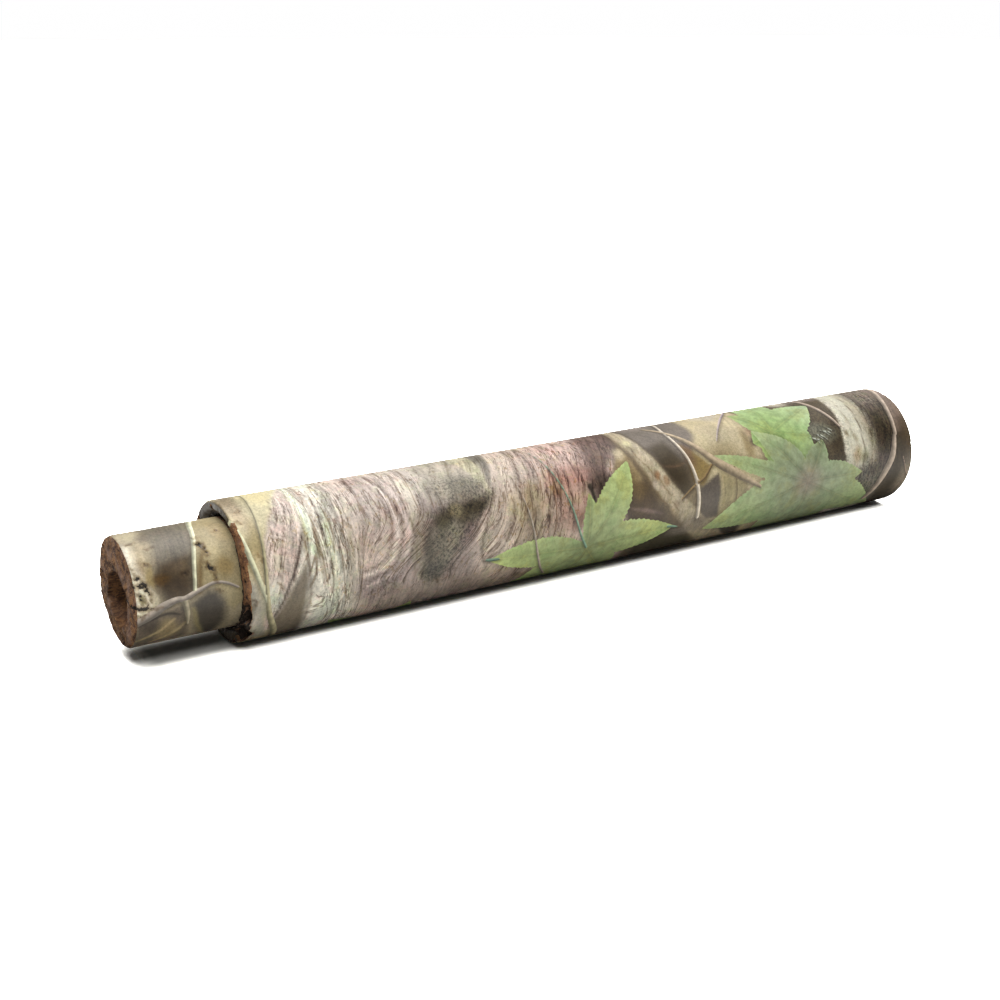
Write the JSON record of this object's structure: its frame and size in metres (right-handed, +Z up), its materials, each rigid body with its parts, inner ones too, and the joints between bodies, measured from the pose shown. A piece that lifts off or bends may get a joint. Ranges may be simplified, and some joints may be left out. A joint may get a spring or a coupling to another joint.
{
  "type": "push-pull friction turkey call",
  "caption": "Round wooden game call: a sprung hollow sleeve pushes into a tube and slides a striker block along a sounding board.",
  "frame": {"origin": "on the resting plane, under the middle of the call's length at rest", "axes": "+X along the tube from the mouth to the plugged end, +Z up, +Y to the back of the call"},
  "size_m": [0.2624, 0.038, 0.038],
  "materials": {
    "camouflage_film": "printed camouflage film over wood, satin",
    "turned_wood": "bare red-brown wood, rough",
    "tone_wood": "planed cedar, unfinished",
    "striker_wood": "sanded dark hardwood with chalk",
    "felt": "wool felt",
    "cork": "cork",
    "brass": "dull brass",
    "spring_steel": "bright spring steel"
  },
  "bodies": {
    "casing": {"barrel": "camouflage_film", "keeper_pin": "brass", "spring_seat": "turned_wood", "return_spring": "spring_steel", "sounding_board": "tone_wood", "front_bridge": "turned_wood", "rear_bridge": "turned_wood", "board_screw_1": "brass", "board_screw_2": "brass", "board_screw_3": "brass", "board_screw_4": "brass"},
    "plunger": {"plunger_sleeve": "camouflage_film", "felt_ring": "felt", "pivot_pin": "brass", "tension_spring": "spring_steel", "tension_spring_screw": "brass"},
    "striker": {"striker_arm": "tone_wood", "striker_block": "striker_wood", "block_screw": "brass"},
    "plug": {"end_plug": "turned_wood", "plug_ring": "cork"}
  },
  "joints": [
    {"name": "plunger_slide", "type": "slide", "parent": "casing", "child": "plunger", "axis": [1, 0, 0], "range_m": [0, 0.015], "stiffness_N_per_m": 150, "springref_m": -0.02, "deforming": ["return_spring"]},
    {"name": "striker_float", "type": "hinge", "parent": "plunger", "child": "striker", "pos_m": [-0.07275, 0, 0.01525], "axis": [0, 1, 0], "range_deg": [0, 2], "stiffness_Nm_per_rad": 0.4, "springref_deg": -5.73, "deforming": ["tension_spring"]},
    {"name": "end_plug_pull", "type": "slide", "parent": "casing", "child": "plug", "axis": [1, 0, 0], "range_m": [0, 0.03]}
  ]
}
